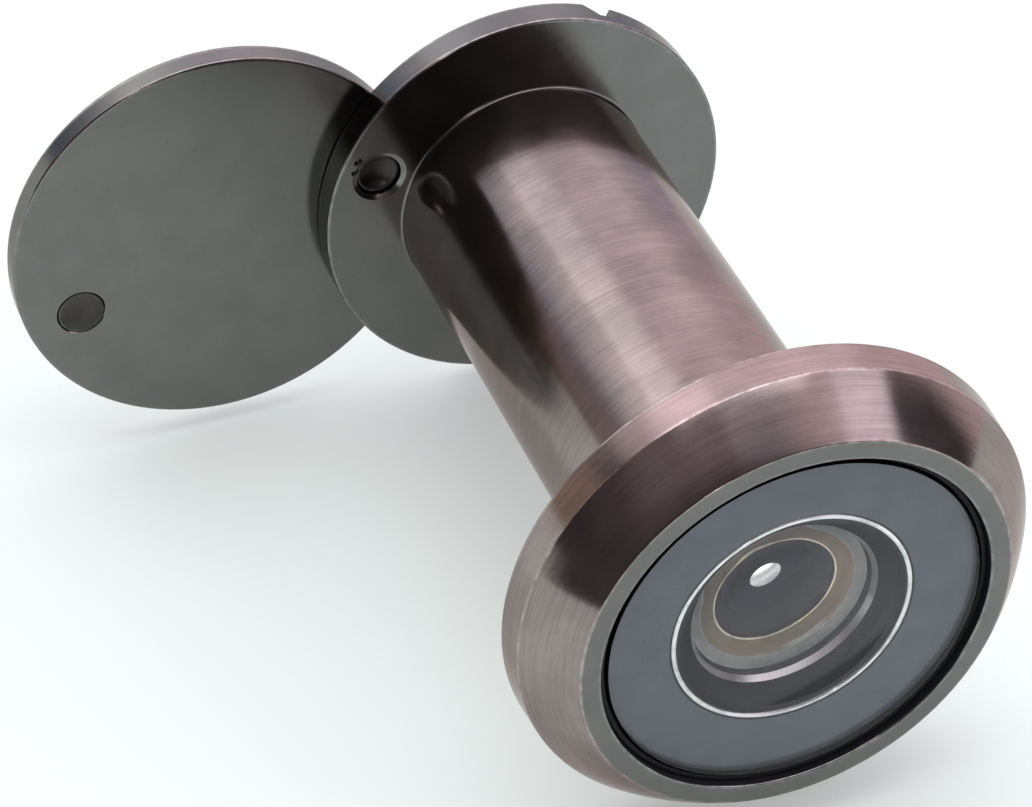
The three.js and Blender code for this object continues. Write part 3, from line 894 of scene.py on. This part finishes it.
MOUTH_BORE = 7.1
GRIP = 35.3
TUBE_RADIUS = 7.81
FLANGE_FILLET = 0.15
EYE_HOLE = 4.6
EYE_CONE = 0.8
NOTCH_ANGLE = 64
NOTCH_FLOOR = 1.05
NOTCH_SLOPE = 0.8
NOTCH_DEPTH = 1.1
NOTCH_LENGTH = 2.6
NOTCH_EDGE = 0.1
RIVET_CLEARANCE = 0.08
RIVET_RADIUS = 1.3
RETAINER_WIDTH = 1.2
RETAINER_SLOT_WIDTH = 0.8
RETAINER_SLOT_DEPTH = 0.6
CUT_REACH = 1.0  # how far a hole's cutter stands out of the piece
HOLE_EDGE = 0.1
PIVOT_SINK = (0.30, 0.125)  # width and depth of the shallow countersink in the flange's front face
SINK_ANGLE = math.radians(20)  # less than the slope of that countersink, so that its edges are sharp
STAKE_MARKS = [(-10.47, 0, 5.30), (-10.67, 0, 4.60)]  # two punch marks beside that hole
STAKE_RADIUS = 0.26
STAKE_FLOOR = 0.6  # radius of a mark's flat floor, as a share of its own
STAKE_DEPTH = 0.25
STAKE_SIDES = 24


def hole(name, centre, radius, front, back, edge=HOLE_EDGE, sink=(HOLE_EDGE, HOLE_EDGE)):
    """A cutter for a round hole between two faces. edge is how much wider it is at the back face, and
    sink is the width and the depth of its countersink in the front face."""
    width, depth = sink
    return lathe(name, satin, [
        corner(0, front - CUT_REACH),
        corner(radius + width, front - CUT_REACH),
        corner(radius + width, front),
        corner(radius, front + depth),
        corner(radius, back - edge),
        corner(radius + edge + CUT_REACH, back + CUT_REACH),
        corner(0, back + CUT_REACH),
    ], centre, SMALL_SIDES)


def notch(angle):
    """A cutter for a driving notch in the flange's back, with one upright and one sloping wall."""
    floor_y = sleeve.back - NOTCH_DEPTH
    half = NOTCH_FLOOR / 2
    top = sleeve.back + NOTCH_EDGE
    section = [
        (-half, floor_y),
        (half, floor_y),
        (half, sleeve.back - NOTCH_EDGE),
        (half + 2 * NOTCH_EDGE, top),
        (-half - NOTCH_SLOPE - 2 * NOTCH_EDGE, top),
    ]
    turn = Matrix.Rotation(math.radians(90 - angle), 4, "Y")
    return prism("notch", section, sleeve.radius - NOTCH_LENGTH, sleeve.radius + NOTCH_LENGTH, turn)


def dent(place):
    """A cutter for a small round punch mark in the flange's front face."""
    return lathe("dent", satin, [
        corner(0, GRIP - STAKE_RADIUS),
        corner(STAKE_RADIUS, GRIP - STAKE_RADIUS),
        corner(STAKE_RADIUS, GRIP),
        corner(STAKE_FLOOR * STAKE_RADIUS, GRIP + STAKE_DEPTH),
        corner(0, GRIP + STAKE_DEPTH),
    ], Vector(place), STAKE_SIDES)


def make_sleeve():
    seat = eyepiece.radius + FIT
    made = lathe("sleeve", satin, [
        corner(MOUTH_BORE, sleeve.front, 0.1, copper),
        corner(TUBE_RADIUS, sleeve.front, 0.18, copper),
        corner(TUBE_RADIUS, GRIP, FLANGE_FILLET, wear=0.0),
        corner(sleeve.radius, GRIP, 0.12),
        corner(sleeve.radius, sleeve.back, 0.14),
        corner(EYE_HOLE + EYE_CONE, sleeve.back, 0.12),
        corner(EYE_HOLE, eyepiece.back, finish=blackened),
        corner(seat, eyepiece.back, finish=blackened),
        corner(seat, retainer.front, finish=blackened),
        corner(MOUTH_BORE, retainer.front, finish=blackened),
    ])
    pivot_radius = RIVET_RADIUS + RIVET_CLEARANCE
    cut(made, [
        notch(NOTCH_ANGLE),
        notch(NOTCH_ANGLE + 180),
        hole("pivot_hole", rivet.centre, pivot_radius, GRIP, sleeve.back, sink=PIVOT_SINK),
        *(dent(place) for place in STAKE_MARKS),
    ])
    settle(made, "inner_sleeve", SINK_ANGLE)


def make_retainer():
    bore = retainer.radius - RETAINER_WIDTH
    made = lathe("retaining_ring", old_brass, [
        corner(bore, retainer.front, 0.1),
        corner(retainer.radius, retainer.front, 0.1),
        corner(retainer.radius, retainer.back - GLASS_GAP, 0.05),
        corner(bore, retainer.back - GLASS_GAP, 0.05),
    ])
    half = RETAINER_SLOT_WIDTH / 2
    low = retainer.front - RETAINER_SLOT_DEPTH
    high = retainer.front + RETAINER_SLOT_DEPTH
    section = [(-half, low), (half, low), (half, high), (-half, high)]
    reach = 2 * retainer.radius
    turn = Matrix.Rotation(math.radians(90), 4, "Y")
    cut(made, [prism("slot", section, -reach, reach, turn)])
    settle(made, "eyepiece_retainer")


make_sleeve()
make_retainer()

# ---------------------------------------------------------------- cover, knob and pivot

COVER_FRONT_ROUND = 0.12
COVER_BACK_ROUND = 0.45
KNOB_TAIL = 1.4
KNOB_CLEARANCE = 0.05
KNOB_HOLE_EDGE = 0.05
KNOB_NECK = 1.7
KNOB_NECK_HEIGHT = 1.0
CENTRE_MARK = 0.16
RIVET_CUP = (1.1, 0.3)  # radius and depth of the hollow in the rivet's front end
WASHER_PLAY = 0.06  # between the washer and the rivet's head
WASHER_WAVE = 0.12
WASHER_WAVES = 3
WASHER_THICKNESS = 0.22


def make_cover():
    pivot_radius = RIVET_RADIUS + RIVET_CLEARANCE
    knob_radius = KNOB_TAIL + KNOB_CLEARANCE
    edge = KNOB_HOLE_EDGE
    made = lathe("cover_disc", satin, [
        corner(0, cover.front),
        corner(cover.radius, cover.front, COVER_FRONT_ROUND, wear=0.5),
        corner(cover.radius, cover.back, COVER_BACK_ROUND),
        corner(0, cover.back),
    ], cover.centre)
    cut(made, [
        hole("pivot_hole", rivet.centre, pivot_radius, cover.front, cover.back),
        hole("knob_hole", knob.centre, knob_radius, cover.front, cover.back, edge, (edge, edge)),
    ])
    settle(made, "cover")


def make_knob():
    neck_top = cover.back + KNOB_NECK_HEIGHT
    made = lathe("knob", dark_satin, [
        corner(0, cover.front + CENTRE_MARK / 2),
        corner(CENTRE_MARK, cover.front),
        corner(KNOB_TAIL, cover.front, 0.06),
        corner(KNOB_TAIL, cover.back),
        corner(KNOB_NECK, cover.back, finish=satin),
        corner(KNOB_NECK, neck_top, 0.15, satin),
        corner(knob.radius, neck_top, 0.35, satin),
        corner(knob.radius, knob.back, 0.9, satin),
        corner(0, knob.back),
    ], knob.centre, SMALL_SIDES)
    settle(made, "cover_knob")


def make_rivet():
    head_front = washer.back + WASHER_PLAY
    made = lathe("rivet", dark_satin, [
        *dish(*RIVET_CUP, rivet.front, 1),
        corner(RIVET_RADIUS, rivet.front, 0.06),
        corner(RIVET_RADIUS, head_front, finish=satin),
        corner(rivet.radius, head_front, 0.1, satin),
        corner(rivet.radius, rivet.back, 0.6, satin),
        corner(0, rivet.back),
    ], rivet.centre, SMALL_SIDES)
    settle(made, "pivot_rivet")


def wave(radius, y, angle):
    return radius, y + WASHER_WAVE * math.cos(WASHER_WAVES * angle)


def make_washer():
    middle = (washer.front + washer.back) / 2
    half = WASHER_THICKNESS / 2
    inner = RIVET_RADIUS + RIVET_CLEARANCE
    made = lathe("spring_washer", steel, [
        corner(inner, middle - half, 0.05),
        corner(washer.radius, middle - half, 0.05),
        corner(washer.radius, middle + half, 0.05),
        corner(inner, middle + half, 0.05),
    ], washer.centre, SMALL_SIDES, wave)
    settle(made, "wave_washer")


make_cover()
make_knob()
make_rivet()
make_washer()

# ---------------------------------------------------------------- floor

# The floor touches the bezel, and the flange where it is with the sleeve all the way out.
joints = {joint["name"]: joint for joint in frame["record"]["behaviour"]["joints"]}
travel = joints["sleeve_travel"]["range_m"][1] / MM
make_floor((0, -barrel.radius), (sleeve.back + travel, -sleeve.radius))
